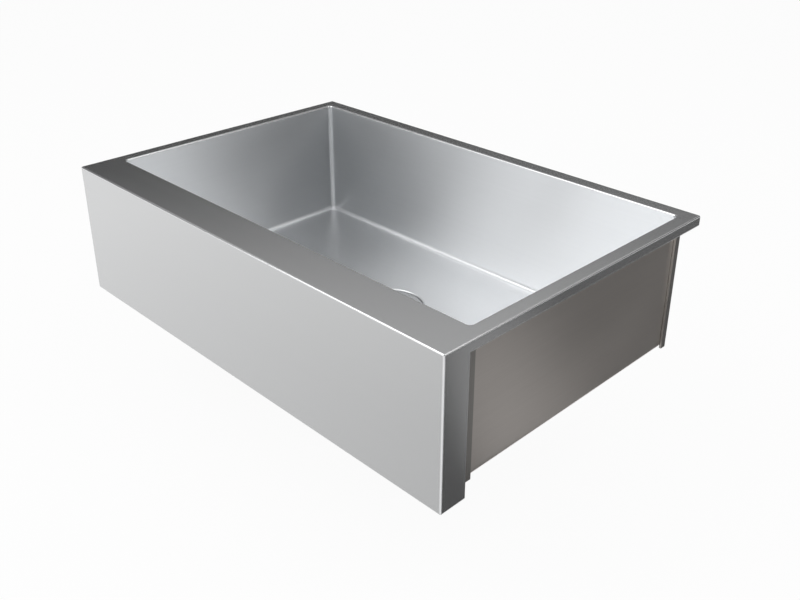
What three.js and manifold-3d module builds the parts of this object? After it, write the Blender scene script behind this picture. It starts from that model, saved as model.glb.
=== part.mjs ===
// Farmhouse apron front sink: folded and welded stainless sheet, with a basket strainer that lifts out.
// Millimetres. X runs along the sink, Y from the apron (-Y) to the back and Z up. The origin is the middle
// of the rim in plan, at the height of the counter on which the rim's skirt rests.
import * as THREE from "three";
import { mergeVertices } from "three/addons/utils/BufferGeometryUtils.js";
import Module from "manifold-3d";

const wasm = await Module();
wasm.setup();

// Sheet metal
const sheet = 1.5; // thickness of every folded sheet
const insideBend = 1; // inside radius of the folds
const bendSteps = 4; // facets in a fold

// Rim
const sinkWidth = 838.2;
const sinkDepth = 558.8;
const skirtHeight = 17; // deck top above the counter
const frontDeck = 69.5; // deck from the apron's face to the bowl
const sideDeck = 23.5;
const backDeck = 26;
const openingDrop = 2.5; // straight part of the fold round the bowl's opening
const lipClearance = 6; // from the lip under the skirt to the corner angles

// Apron
const apronHeight = 228.6; // deck top to the apron's bottom
const returnDepth = 44; // sides folded back behind the apron's face
const apronLip = 20; // bottom folded back
const seamDrop = 1.5; // from the end of the rim's fold to the seam with the apron

// Bowl
const bowlDepth = 224; // deck top to floor
const coveRadius = 6; // inside radius between floor and walls
const cornerBlend = 0.5; // by which the upright corners' radius is larger than the cove's
const cornerSteps = 4; // facets in an upright corner
const coveLand = 4; // straight edge above the cove, on which the walls stand
const wallTurn = 8; // front and back walls run this far past the corner, along the side

// Corner angles
const angleThickness = 4;
const angleLeg = 11;

// Apron braces
const braceSpacing = 400; // between the two braces' webs
const braceFlange = 18;
const braceTopGap = 70; // deck top to the top of a brace
const braceBottomGap = 20; // apron's bottom to the bottom of a brace

// Sound pads
const padThickness = 3;
const padEdge = 45; // from a bowl wall to a pad
const padGap = 35; // from the drain's recess to a pad
const padCorner = 20;

// Drain hole and its recess
const drainSetback = 17; // drain behind the middle of the bowl
const drainHoleRadius = 44.45;
const recessClearance = 1.4; // round the strainer's flange
const flangeDrop = 1.9; // flange top below the floor
const roundSteps = 48; // facets in a full turn
const pinSteps = 24; // facets in a full turn of the stem and what is on it

// Strainer body
const flangeRadius = 57.15;
const flangeThickness = 1.6;
const sealThickness = 1; // ring between flange and recess
const cupRadius = 42.5; // outside of the threaded neck
const cupWall = 1.6;
const cupDepth = 46; // flange top to cup floor
const cupRound = 6; // inside radius at the cup's floor
const mouthRound = 1.5;
const seatRun = 7; // width and height of the stopper's conical seat
const outletInside = 20;
const outletWall = 3.6;
const outletLength = 22;
const crossbarWidth = 6;
const crossbarHeight = 4;
const crossbarDrop = 4; // below the seat
const hubRadius = 6;

// Clamping stack under the floor
const fitClearance = 0.15; // between a thread and its nut, per side
const sealClearance = 0.5; // from the neck to a ring round it
const gasketThickness = 3;
const gasketWidth = 13;
const frictionThickness = 0.8;
const frictionWidth = 11;
const locknutHeight = 9;
const locknutWidth = 9;
const locknutLugs = 6;
const lugLength = 5;
const lugWidth = 9;

// Basket
const basketClearance = 0.9; // basket rim to cup
const basketSheet = 1;
const basketHeight = 36;
const basketBend = 3;
const basketRimWidth = 2.4;
const basketTaper = 5.5; // top radius less bottom radius
const holeRadius = 2;
const holePitch = 6.4;
const slotCount = 20;
const slotWidth = 2.5;
const slotHeight = 18;

// Stem, stopper and knob
const stemRadius = 3;
const pinClearance = 0.1; // between the stem and what is fixed to it
const tipRadius = 2.6; // end of the stem, in the crossbar's hub
const tipClearance = 0.4;
const tipReach = 3; // tip below the crossbar
const collarRadius = 6;
const collarHeight = 1.5;
const stopperSink = 4; // depth of the stopper in its seat
const stopperLip = 1.5; // stopper above the cup floor
const stopperClearance = 0.3;
const stemNutRadius = 6;
const stemNutHeight = 3.5;
const knobRadius = 10;
const knobNeck = 5;
const knobHeight = 13;
const knobSocket = 6; // depth of the stem in the knob
const knobBelowRim = 1; // knob top below the basket's rim

// Tailpiece and coupling nut
const tailRadius = 19.05;
const tailWall = 1.2;
const tailLength = 101.6;
const tailFlange = 1.5;
const washerThickness = 1.6;
const couplingGrip = 12; // nut above the washer
const couplingWall = 5;
const couplingLip = 2.5;

// Levels and places worked out from the sizes above
const bend = insideBend + sheet;
const halfWidth = sinkWidth / 2;
const halfDepth = sinkDepth / 2;
const deckTop = skirtHeight;
const deckUnder = deckTop - sheet;
const apronTop = deckTop - bend - seamDrop;
const apronBottom = deckTop - apronHeight;
const apronBack = -halfDepth + returnDepth;
const openingBottom = deckTop - bend - openingDrop;
const floorTop = deckTop - bowlDepth;
const floorUnder = floorTop - sheet;
const wallBase = floorTop + coveRadius + coveLand;
const bowlHalfX = halfWidth - sideDeck;
const bowlHalfY = (sinkDepth - frontDeck - backDeck) / 2;
const bowlMidY = (frontDeck - backDeck) / 2;
const bowlCorner = coveRadius + cornerBlend;
const angleOutset = sheet + angleThickness; // from the bowl's inside face
const seatLip = sideDeck - angleOutset - lipClearance;
const drainY = bowlMidY + drainSetback;
const recessRadius = flangeRadius + recessClearance;
const seatTop = floorTop - flangeDrop - flangeThickness - sealThickness;
const seatUnder = seatTop - sheet;
const flangeUnder = seatTop + sealThickness;
const flangeTop = flangeUnder + flangeThickness;
const cupInside = cupRadius - cupWall;
const cupFloor = flangeTop - cupDepth;
const seatRadius = outletInside + seatRun;
const seatBottom = cupFloor - seatRun;
const outletRadius = outletInside + outletWall;
const outletBottom = seatBottom - outletLength;
const crossbarTop = seatBottom - crossbarDrop;
const crossbarBottom = crossbarTop - crossbarHeight;
const stopperTop = cupFloor + stopperLip;
const stopperBottom = cupFloor - stopperSink;
const basketTop = stopperTop + basketHeight;
const tailTop = outletBottom - washerThickness;

// Outwards distance that puts a profile's point on the axis.
const centre = -Infinity;
const farAway = 2 * (sinkWidth + sinkDepth);

// Points along an arc in a profile, angles in degrees.
function arc(x, y, radius, from, to, steps = bendSteps) {
  return Array.from({ length: steps + 1 }, (_, i) => {
    const angle = THREE.MathUtils.degToRad(from + ((to - from) * i) / steps);
    return [x + radius * Math.cos(angle), y + radius * Math.sin(angle)];
  });
}

// A closed mesh as a solid that can be joined and cut.
function solidOf(geometry) {
  const bare = geometry.clone();
  bare.deleteAttribute("normal");
  bare.deleteAttribute("uv");
  const merged = mergeVertices(bare);
  return new wasm.Manifold(
    new wasm.Mesh({
      numProp: 3,
      vertProperties: merged.getAttribute("position").array,
      triVerts: new Uint32Array(merged.index.array),
    }),
  );
}

function geometryOf(solid) {
  const { vertProperties, triVerts } = solid.getMesh();
  const geometry = new THREE.BufferGeometry();
  geometry.setAttribute("position", new THREE.BufferAttribute(vertProperties, 3));
  geometry.setIndex(new THREE.BufferAttribute(triVerts, 1));
  geometry.computeVertexNormals();
  return geometry;
}

// A box between two levels on each axis.
function box([x0, x1], [y0, y1], [z0, z1]) {
  const geometry = new THREE.BoxGeometry(x1 - x0, y1 - y0, z1 - z0);
  geometry.translate((x0 + x1) / 2, (y0 + y1) / 2, (z0 + z1) / 2);
  return solidOf(geometry);
}

// A profile of [radius, height] points turned about the Z axis.
function turned(profile, steps = roundSteps) {
  const points = profile.map(([radius, height]) => new THREE.Vector2(radius, height));
  const geometry = new THREE.LatheGeometry(points, steps);
  geometry.rotateX(Math.PI / 2);
  return solidOf(geometry);
}

function closedProfile(profile) {
  return [...profile, profile[0]];
}

// A ring about the Z axis with a rectangular section.
function washer(inside, outside, bottom, top) {
  return turned(closedProfile([[inside, bottom], [outside, bottom], [outside, top], [inside, top]]));
}

function disc(radius, bottom, top, steps = roundSteps) {
  return turned([[0, bottom], [radius, bottom], [radius, top], [0, top]], steps);
}

// A profile of [distance outwards, height] points carried round a rectangle, as a lathe whose quarters are
// pushed apart. A corner of one step is square, and its radius then sets nothing.
function carriedRound(profile, halfX, halfY, radius, steps) {
  const halfStep = Math.PI / 4 / steps;
  const points = profile.map(
    ([outwards, height]) =>
      new THREE.Vector2(Math.max(0, radius + outwards) / Math.cos(halfStep), height),
  );
  const geometry = new THREE.LatheGeometry(points, 4 * steps, halfStep);
  geometry.rotateX(Math.PI / 2);
  const position = geometry.getAttribute("position");
  for (let i = 0; i < position.count; i++) {
    const x = position.getX(i);
    const y = position.getY(i);
    if (Math.hypot(x, y) < sheet / 1000) continue;
    position.setXY(i, x + Math.sign(x) * (halfX - radius), y + Math.sign(y) * (halfY - radius));
  }
  return geometry;
}

// A profile carried round the bowl's inside faces, with the bowl's round corners.
function roundBowl(profile) {
  const geometry = carriedRound(profile, bowlHalfX, bowlHalfY, bowlCorner, cornerSteps);
  geometry.translate(0, bowlMidY, 0);
  return solidOf(geometry);
}

// Fold from a flat sheet with its upper face at a height down to an upright side: the sheet's lower face,
// outwards, and its upper face, back inwards.
function foldUnder(top) {
  return arc(-bend, top - bend, insideBend, 90, 0);
}

function foldOver(top) {
  return arc(-bend, top - bend, bend, 0, 90);
}

const steel = { color: 0xa7a9ab, roughness: 0.32, metalness: 1 };
const materials = {
  brushedSteel: new THREE.MeshStandardMaterial({ ...steel, flatShading: true }),
  drainSteel: new THREE.MeshStandardMaterial({ color: 0xb4b6b8, roughness: 0.2, metalness: 1 }),
  brass: new THREE.MeshStandardMaterial({ color: 0xb08d4a, roughness: 0.35, metalness: 1 }),
  rubber: new THREE.MeshStandardMaterial({ color: 0x232426, roughness: 0.8, metalness: 0 }),
  fibre: new THREE.MeshStandardMaterial({ color: 0xb7a487, roughness: 0.9, metalness: 0 }),
  dampingPad: new THREE.MeshStandardMaterial({ color: 0x4d4f52, roughness: 0.9, metalness: 0 }),
  polymer: new THREE.MeshStandardMaterial({ color: 0xe4e2da, roughness: 0.5, metalness: 0 }),
};

function piece(name, solid, material) {
  const mesh = new THREE.Mesh(geometryOf(solid), material);
  mesh.name = name;
  return mesh;
}

// Deck with its skirt and the seat lip under it. The opening's edge is folded down towards the bowl, and the
// skirt stops where the apron and its returns take over.
function rimDeck() {
  const lid = carriedRound(
    [
      [centre, deckUnder],
      ...foldUnder(deckTop),
      ...arc(-bend, bend, insideBend, 0, -90),
      [-seatLip, sheet],
      [-seatLip, 0],
      ...arc(-bend, bend, bend, -90, 0),
      ...foldOver(deckTop),
      [centre, deckTop],
    ],
    halfWidth,
    halfDepth,
    halfDepth,
    1,
  );
  const opening = roundBowl([
    [centre, 0],
    [bend, 0],
    [bend, farAway],
    [centre, farAway],
  ]);
  const openingFold = roundBowl(
    closedProfile([
      [0, openingBottom],
      [sheet, openingBottom],
      ...arc(bend, deckTop - bend, insideBend, 180, 90),
      [2 * bend, deckUnder],
      [2 * bend, deckTop],
      ...arc(bend, deckTop - bend, bend, 90, 180),
    ]),
  );
  const apronPlace = box([-farAway, farAway], [-farAway, apronBack], [-farAway, apronTop]);
  return solidOf(lid).subtract(opening).add(openingFold).subtract(apronPlace);
}

// Front sheet with its side returns and bottom lip, made lying face up and then stood upright.
function apronFront() {
  const face = halfDepth;
  const tray = carriedRound(
    [
      [centre, face - sheet],
      ...foldUnder(face),
      [-sheet, face - returnDepth],
      [0, face - returnDepth],
      ...foldOver(face),
      [centre, face],
    ],
    halfWidth,
    apronHeight / 2,
    apronHeight / 2,
    1,
  );
  tray.rotateX(Math.PI / 2);
  tray.translate(0, 0, (deckTop + apronBottom) / 2);
  const rimPlace = box([-farAway, farAway], [-farAway, farAway], [apronTop, farAway]);
  const lipEnd = box(
    [bend - halfWidth, halfWidth - bend],
    [apronLip - halfDepth, farAway],
    [-farAway, apronBottom + bend],
  );
  return solidOf(tray).subtract(rimPlace).subtract(lipEnd);
}

// Floor with its coved edge and the pressed recess round the drain hole.
function bowlFloorPan() {
  const pan = roundBowl([
    [centre, floorUnder],
    ...arc(-coveRadius, floorTop + coveRadius, coveRadius + sheet, -90, 0),
    [sheet, wallBase],
    [0, wallBase],
    ...arc(-coveRadius, floorTop + coveRadius, coveRadius, 0, -90),
    [centre, floorTop],
  ]);
  const recessEdge = recessRadius + bend;
  const place = disc(recessEdge, -farAway, 0).translate(0, drainY, 0);
  const recess = turned(
    closedProfile([
      [drainHoleRadius, seatUnder],
      [recessRadius + sheet, seatUnder],
      [recessRadius + sheet, floorUnder],
      [recessEdge + bend, floorUnder],
      [recessEdge + bend, floorTop],
      ...arc(recessEdge, floorTop - bend, bend, 90, 180),
      [recessRadius, seatTop],
      [drainHoleRadius, seatTop],
    ]),
  ).translate(0, drainY, 0);
  return pan.subtract(place).add(recess);
}

// The four walls, cut from one upright band: the front and back walls turn the corners.
function bowlWalls() {
  const band = roundBowl(
    closedProfile([
      [0, wallBase],
      [sheet, wallBase],
      [sheet, openingBottom],
      [0, openingBottom],
    ]),
  );
  const turn = bowlHalfY - bowlCorner - wallTurn;
  const upright = [-farAway, farAway];
  const across = [bowlMidY - turn, bowlMidY + turn];
  return {
    bowl_wall_front: band.intersect(box(upright, [-farAway, across[0]], upright)),
    bowl_wall_back: band.intersect(box(upright, [across[1], farAway], upright)),
    bowl_wall_left: band.intersect(box([-farAway, 0], across, upright)),
    bowl_wall_right: band.intersect(box([0, farAway], across, upright)),
  };
}

// Angle welded up the outside of a corner of the bowl, to where the rim's fold begins. sideX and sideY are
// -1 or 1.
function cornerAngle(sideX, sideY) {
  const foldStart = deckTop - bend;
  const tip = angleThickness - angleLeg;
  const shape = new THREE.Shape();
  shape.moveTo(0, 0);
  shape.lineTo(0, tip);
  shape.lineTo(angleThickness, tip);
  shape.lineTo(angleThickness, angleThickness);
  shape.lineTo(tip, angleThickness);
  shape.lineTo(tip, 0);
  const angle = solidOf(
    new THREE.ExtrudeGeometry(shape, { depth: foldStart - floorUnder, bevelEnabled: false }),
  ).translate(bowlHalfX + sheet, bowlHalfY + sheet, floorUnder);
  const turnedX = sideX < 0 ? angle.mirror([1, 0, 0]) : angle;
  const turnedY = sideY < 0 ? turnedX.mirror([0, 1, 0]) : turnedX;
  return turnedY.translate(0, bowlMidY, 0);
}

// Channel that ties the apron's back to the bowl's front wall, open to the sink's end. side is -1 or 1.
function apronBrace(side) {
  const front = sheet - halfDepth;
  const back = bowlMidY - bowlHalfY - sheet;
  const levels = [apronBottom + braceBottomGap, deckTop - braceTopGap];
  const webX = braceSpacing / 2;
  const web = box([webX, webX + sheet], [front, back], levels);
  const frontFlange = box([webX, webX + braceFlange], [front, front + sheet], levels);
  const backFlange = box([webX, webX + braceFlange], [back - sheet, back], levels);
  const brace = web.add(frontFlange).add(backFlange);
  return side < 0 ? brace.mirror([1, 0, 0]) : brace;
}

// Damping pad under one side of the floor. side is -1 or 1.
function soundPad(side) {
  const inner = recessRadius + bend + padGap;
  const outer = bowlHalfX - padEdge;
  const reach = bowlHalfY - padEdge;
  const shape = new THREE.Shape();
  shape.absarc(outer - padCorner, reach - padCorner, padCorner, 0, Math.PI / 2);
  shape.absarc(inner + padCorner, reach - padCorner, padCorner, Math.PI / 2, Math.PI);
  shape.absarc(inner + padCorner, padCorner - reach, padCorner, Math.PI, 1.5 * Math.PI);
  shape.absarc(outer - padCorner, padCorner - reach, padCorner, 1.5 * Math.PI, 2 * Math.PI);
  const pad = solidOf(
    new THREE.ExtrudeGeometry(shape, {
      depth: padThickness,
      bevelEnabled: false,
      curveSegments: cornerSteps,
    }),
  ).translate(0, bowlMidY, floorUnder - padThickness);
  return side < 0 ? pad.mirror([1, 0, 0]) : pad;
}

// Flanged cup with the stopper's conical seat, the outlet and a crossbar with a hub for the stem's tip.
function strainerBody() {
  const cup = turned(
    closedProfile([
      [outletInside, outletBottom],
      [outletRadius, outletBottom],
      [outletRadius, seatBottom],
      [seatRadius + cupWall, cupFloor - cupWall],
      ...arc(cupInside - cupRound, cupFloor + cupRound, cupRound + cupWall, -90, 0),
      [cupRadius, flangeUnder],
      [flangeRadius, flangeUnder],
      [flangeRadius, flangeTop - flangeThickness / 2],
      [flangeRadius - flangeThickness / 2, flangeTop],
      ...arc(cupInside + mouthRound, flangeTop - mouthRound, mouthRound, 90, 180),
      ...arc(cupInside - cupRound, cupFloor + cupRound, cupRound, 0, -90),
      [seatRadius, cupFloor],
      [outletInside, seatBottom],
    ]),
  );
  const barReach = outletInside + outletWall / 2;
  const bar = box(
    [-barReach, barReach],
    [-crossbarWidth / 2, crossbarWidth / 2],
    [crossbarBottom, crossbarTop],
  );
  const hub = disc(hubRadius, crossbarBottom, crossbarTop);
  const hubHole = disc(tipRadius + tipClearance, -farAway, farAway);
  return cup.add(bar).add(hub).subtract(hubHole);
}

// Nut on the neck, with lugs to drive it round.
function drainLocknut(top) {
  const outside = cupRadius + locknutWidth;
  let nut = disc(outside, top - locknutHeight, top);
  for (let i = 0; i < locknutLugs; i++) {
    const lug = box([0, outside + lugLength], [-lugWidth / 2, lugWidth / 2], [top - locknutHeight, top]);
    nut = nut.add(lug.rotate([0, 0, (360 * i) / locknutLugs]));
  }
  return nut.subtract(disc(cupRadius + fitClearance, -farAway, farAway));
}

// Pressed cup with round holes in its bottom and slots in its side.
function strainerBasket() {
  const rim = cupInside - basketClearance;
  const high = rim - basketRimWidth;
  const low = high - basketTaper;
  const hole = stemRadius + pinClearance;
  const bottom = stopperTop;
  const sideFoot = bottom + basketSheet + basketBend;
  let basket = turned(
    closedProfile([
      [hole, bottom],
      [low - basketBend, bottom],
      [low, sideFoot],
      [high, basketTop - basketSheet],
      [rim, basketTop - basketSheet],
      [rim, basketTop],
      [high - basketSheet, basketTop],
      [low - basketSheet, sideFoot],
      [low - basketBend - basketSheet, bottom + basketSheet],
      [hole, bottom + basketSheet],
    ]),
  );
  const firstRing = collarRadius + holePitch / 2;
  const lastRing = low - basketBend - holePitch / 2;
  const rings = Math.max(1, Math.round((lastRing - firstRing) / holePitch));
  for (let ring = 0; ring <= rings; ring++) {
    const radius = firstRing + ((lastRing - firstRing) * ring) / rings;
    const count = Math.floor((2 * Math.PI * radius) / holePitch);
    for (let i = 0; i < count; i++) {
      const punch = disc(holeRadius, bottom - basketSheet, bottom + 2 * basketSheet, 8);
      basket = basket.subtract(punch.translate(radius, 0, 0).rotate([0, 0, (360 * i) / count]));
    }
  }
  const slotMiddle = (sideFoot + basketTop) / 2;
  for (let i = 0; i < slotCount; i++) {
    const slot = box(
      [low - 2 * basketSheet, rim],
      [-slotWidth / 2, slotWidth / 2],
      [slotMiddle - slotHeight / 2, slotMiddle + slotHeight / 2],
    );
    basket = basket.subtract(slot.rotate([0, 0, (360 * (i + 0.5)) / slotCount]));
  }
  return basket;
}

const knobTop = basketTop - knobBelowRim;
const knobUnder = knobTop - knobHeight;
const collarBottom = stopperTop + basketSheet;

// Stem from the tip in the crossbar's hub up to the knob, with a collar on the basket's bottom.
function basketStem() {
  return turned(
    [
      [0, crossbarBottom - tipReach],
      [tipRadius / 2, crossbarBottom - tipReach],
      [tipRadius, crossbarBottom - tipReach + tipRadius / 2],
      [tipRadius, crossbarTop + tipClearance],
      [stemRadius, crossbarTop + tipClearance + stemRadius - tipRadius],
      [stemRadius, collarBottom],
      [collarRadius, collarBottom],
      [collarRadius, collarBottom + collarHeight],
      [stemRadius, collarBottom + collarHeight],
      [stemRadius, knobUnder + knobSocket],
      [0, knobUnder + knobSocket],
    ],
    pinSteps,
  );
}

function basketKnob() {
  const crown = knobRadius / 2;
  return turned(
    [
      [0, knobUnder + knobSocket + pinClearance],
      [stemRadius + pinClearance, knobUnder + knobSocket + pinClearance],
      [stemRadius + pinClearance, knobUnder],
      [knobNeck, knobUnder],
      [knobNeck, knobUnder + knobHeight / 3],
      ...arc(knobRadius - crown / 2, knobTop - crown, crown / 2, -90, 0),
      ...arc(knobRadius - crown, knobTop - crown, crown, 0, 90),
      [0, knobTop],
    ],
    pinSteps,
  );
}

function stopperDisc() {
  const wide = seatRadius - stopperClearance * Math.SQRT2;
  const hole = stemRadius + pinClearance;
  return turned(
    closedProfile([
      [hole, stopperBottom],
      [wide - stopperSink, stopperBottom],
      [wide, cupFloor],
      [wide, stopperTop],
      [hole, stopperTop],
    ]),
  );
}

function stemNut() {
  const bottom = stopperBottom - stemNutHeight;
  const hexagon = disc(stemNutRadius, bottom, stopperBottom, 6);
  return hexagon.subtract(disc(stemRadius + pinClearance, -farAway, farAway, pinSteps));
}

function tailpiece() {
  const inside = tailRadius - tailWall;
  return turned(
    closedProfile([
      [inside, tailTop - tailLength],
      [tailRadius, tailTop - tailLength],
      [tailRadius, tailTop - tailFlange],
      [outletRadius, tailTop - tailFlange],
      [outletRadius, tailTop],
      [inside, tailTop],
    ]),
  );
}

// Six-sided nut whose bottom lip holds the tailpiece's flange up against the washer.
function couplingNut() {
  const inside = outletRadius + fitClearance;
  const lipTop = tailTop - tailFlange;
  const acrossCorners = (inside + couplingWall) / Math.cos(Math.PI / 6);
  const hexagon = disc(acrossCorners, lipTop - couplingLip, outletBottom + couplingGrip, 6);
  const thread = disc(inside, lipTop, farAway);
  const tube = disc(tailRadius + sealClearance, -farAway, farAway);
  return hexagon.subtract(thread).subtract(tube);
}

function shell() {
  const group = new THREE.Group();
  group.add(piece("rim_deck", rimDeck(), materials.brushedSteel));
  group.add(piece("apron_front", apronFront(), materials.brushedSteel));
  group.add(piece("bowl_floor_pan", bowlFloorPan(), materials.brushedSteel));
  for (const [name, wall] of Object.entries(bowlWalls())) {
    group.add(piece(name, wall, materials.brushedSteel));
  }
  for (const [sideY, along] of [[-1, "front"], [1, "back"]]) {
    for (const [sideX, across] of [[-1, "left"], [1, "right"]]) {
      const angle = cornerAngle(sideX, sideY);
      group.add(piece(`corner_angle_${along}_${across}`, angle, materials.brushedSteel));
    }
  }
  for (const [side, name] of [[-1, "left"], [1, "right"]]) {
    group.add(piece(`apron_brace_${name}`, apronBrace(side), materials.brushedSteel));
    group.add(piece(`sound_pad_${name}`, soundPad(side), materials.dampingPad));
  }
  return group;
}

// What is clamped in the drain hole.
function drain() {
  const ringInside = cupRadius + sealClearance;
  const gasketBottom = seatUnder - gasketThickness;
  const frictionBottom = gasketBottom - frictionThickness;
  const flangeSeal = washer(ringInside, flangeRadius - sealThickness, seatTop, flangeUnder);
  const gasket = washer(ringInside, ringInside + gasketWidth, gasketBottom, seatUnder);
  const friction = washer(ringInside, ringInside + frictionWidth, frictionBottom, gasketBottom);
  const tailWasher = washer(tailRadius - tailWall, outletRadius, tailTop, outletBottom);
  const group = new THREE.Group();
  group.add(piece("strainer_body", strainerBody(), materials.drainSteel));
  group.add(piece("flange_seal", flangeSeal, materials.rubber));
  group.add(piece("drain_gasket", gasket, materials.rubber));
  group.add(piece("friction_ring", friction, materials.fibre));
  group.add(piece("drain_locknut", drainLocknut(frictionBottom), materials.brass));
  group.add(piece("tailpiece_washer", tailWasher, materials.polymer));
  group.add(piece("tailpiece", tailpiece(), materials.drainSteel));
  group.add(piece("coupling_nut", couplingNut(), materials.brass));
  group.position.y = drainY;
  return group;
}

// What lifts out of the strainer body.
function liftOutBasket() {
  const group = new THREE.Group();
  group.add(piece("strainer_basket", strainerBasket(), materials.drainSteel));
  group.add(piece("basket_stem", basketStem(), materials.drainSteel));
  group.add(piece("basket_knob", basketKnob(), materials.drainSteel));
  group.add(piece("stopper_disc", stopperDisc(), materials.rubber));
  group.add(piece("stem_nut", stemNut(), materials.brass));
  group.position.y = drainY;
  return group;
}

const sink = new THREE.Group();
sink.add(shell(), drain(), liftOutBasket());

export default sink;
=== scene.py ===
import bpy
import bmesh
import math
from mathutils import Matrix, Vector


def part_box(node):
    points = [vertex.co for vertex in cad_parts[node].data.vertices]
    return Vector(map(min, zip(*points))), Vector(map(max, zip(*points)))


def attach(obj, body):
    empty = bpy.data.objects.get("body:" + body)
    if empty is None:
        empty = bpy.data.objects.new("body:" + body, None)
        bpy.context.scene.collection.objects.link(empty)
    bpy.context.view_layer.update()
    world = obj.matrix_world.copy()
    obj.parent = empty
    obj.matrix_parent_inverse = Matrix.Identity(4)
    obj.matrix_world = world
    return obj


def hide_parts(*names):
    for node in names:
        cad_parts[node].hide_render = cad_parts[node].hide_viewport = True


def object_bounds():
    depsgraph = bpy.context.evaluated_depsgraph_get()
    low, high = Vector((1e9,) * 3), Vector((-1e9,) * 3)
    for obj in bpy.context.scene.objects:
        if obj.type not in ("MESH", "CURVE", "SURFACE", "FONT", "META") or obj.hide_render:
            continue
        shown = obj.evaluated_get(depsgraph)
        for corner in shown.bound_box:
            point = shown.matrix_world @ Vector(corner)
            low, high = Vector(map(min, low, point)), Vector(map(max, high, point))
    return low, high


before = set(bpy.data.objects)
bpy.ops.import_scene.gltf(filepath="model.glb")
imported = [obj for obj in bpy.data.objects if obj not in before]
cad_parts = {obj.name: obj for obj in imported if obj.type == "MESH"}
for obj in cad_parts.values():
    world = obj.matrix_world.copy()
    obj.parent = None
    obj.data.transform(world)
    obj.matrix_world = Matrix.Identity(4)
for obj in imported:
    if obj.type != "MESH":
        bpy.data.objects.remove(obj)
cadBox = [list(corner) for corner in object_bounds()]
scene = bpy.context.scene
print("frame loaded,", len(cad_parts), "nodes")

# Lengths in the pieces' dictionaries are millimetres, and finishPiece brings a mesh to metres.
perMetre = 1000
# Limits for one part of a normal: along the axis of a flat face, and along Z on an upright face.
flatNormal = 0.999
uprightNormal = 0.3


def boxOf(node):
    low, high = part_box(node)
    return low * perMetre, high * perMetre


def addObject(name, data):
    made = bpy.data.objects.new(name, data)
    scene.collection.objects.link(made)
    return made


def meshFrom(name, bm):
    mesh = bpy.data.meshes.new(name)
    bm.to_mesh(mesh)
    bm.free()
    return mesh


camera = {
    "place": (1.0125, -0.9322, 0.5640),  # metres
    "azimuth": 45.473,
    "elevation": 25.405,
    "roll": 0.063,
    "lens": 41.91,
    "shiftY": -0.0625,
}


def makeCamera(values):
    data = bpy.data.cameras.new("camera")
    data.sensor_width = 36
    data.lens = values["lens"]
    data.shift_y = values["shiftY"]
    data.clip_start = 0.05
    data.clip_end = 60
    around = Matrix.Rotation(math.radians(values["azimuth"]), 4, "Z")
    tilt = Matrix.Rotation(math.radians(90 - values["elevation"]), 4, "X")
    roll = Matrix.Rotation(math.radians(values["roll"]), 4, "Z")
    scene.camera = addObject("camera", data)
    scene.camera.matrix_world = Matrix.Translation(values["place"]) @ around @ tilt @ roll


makeCamera(camera)
scene.view_settings.view_transform = "Standard"
print("camera set")


def addNode(tree, kind, inputs=None, **settings):
    made = tree.nodes.new(kind)
    for name, value in settings.items():
        setattr(made, name, value)
    for name, value in (inputs or {}).items():
        if isinstance(value, bpy.types.NodeSocket):
            tree.links.new(value, made.inputs[name])
        else:
            made.inputs[name].default_value = value
    return made


def mathOf(tree, operation, *values):
    return addNode(tree, "ShaderNodeMath", dict(enumerate(values)), operation=operation).outputs[0]


# Where a value lies between low and high, from 0 to 1.
def shareOf(tree, value, low, high, **settings):
    inputs = {"Value": value, "From Min": low, "From Max": high}
    return addNode(tree, "ShaderNodeMapRange", inputs, **settings).outputs["Result"]


def mixOf(tree, kind, share, first, second):
    inputs = {"Factor": share, "A": first, "B": second}
    return addNode(tree, "ShaderNodeMix", inputs, data_type=kind).outputs["Result"]


def noiseOf(tree, vector, scale, detail, roughness, distortion=0.0):
    inputs = {"Vector": vector, "Scale": scale, "Detail": detail, "Roughness": roughness}
    return addNode(tree, "ShaderNodeTexNoise", {**inputs, "Distortion": distortion}).outputs["Fac"]


def newMaterial(name):
    made = bpy.data.materials.new(name)
    made.use_nodes = True
    made.node_tree.nodes.clear()
    return made


def newGroup(name, inputs, outputs):
    made = bpy.data.node_groups.new(name, "ShaderNodeTree")
    for socket, kind, value in inputs:
        added = made.interface.new_socket(name=socket, in_out="INPUT", socket_type="NodeSocket" + kind)
        if value is not None:
            added.default_value = value
    for socket, kind in outputs:
        made.interface.new_socket(name=socket, in_out="OUTPUT", socket_type="NodeSocket" + kind)
    return made


def grey(level):
    return (level, level, level, 1)


# Fine grooves of a brushed or rolled surface. Vector comes stretched along the grooves.
def makeGrainGroup():
    group = newGroup(
        "brushedGrain",
        [
            ("Vector", "Vector", None),
            ("Base Color", "Color", grey(0.7)),
            ("Groove Color", "Color", grey(0.6)),
            ("Roughness", "Float", 0.25),
            ("Roughness Spread", "Float", 0.1),
        ],
        [("Color", "Color"), ("Roughness", "Float"), ("Height", "Float")],
    )
    given = group.nodes.new("NodeGroupInput").outputs
    fine = noiseOf(group, given["Vector"], 1.0, 3.0, 0.6)
    broad = noiseOf(group, given["Vector"], 0.13, 2.0, 0.5)
    spread = shareOf(group, mixOf(group, "FLOAT", 0.35, fine, broad), 0.3, 0.7)
    color = mixOf(group, "RGBA", spread, given["Groove Color"], given["Base Color"])
    centred = mathOf(group, "SUBTRACT", spread, 0.5)
    rough = mathOf(group, "MULTIPLY_ADD", centred, given["Roughness Spread"], given["Roughness"])
    addNode(group, "NodeGroupOutput", {"Color": color, "Roughness": rough, "Height": fine})
    return group


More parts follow.
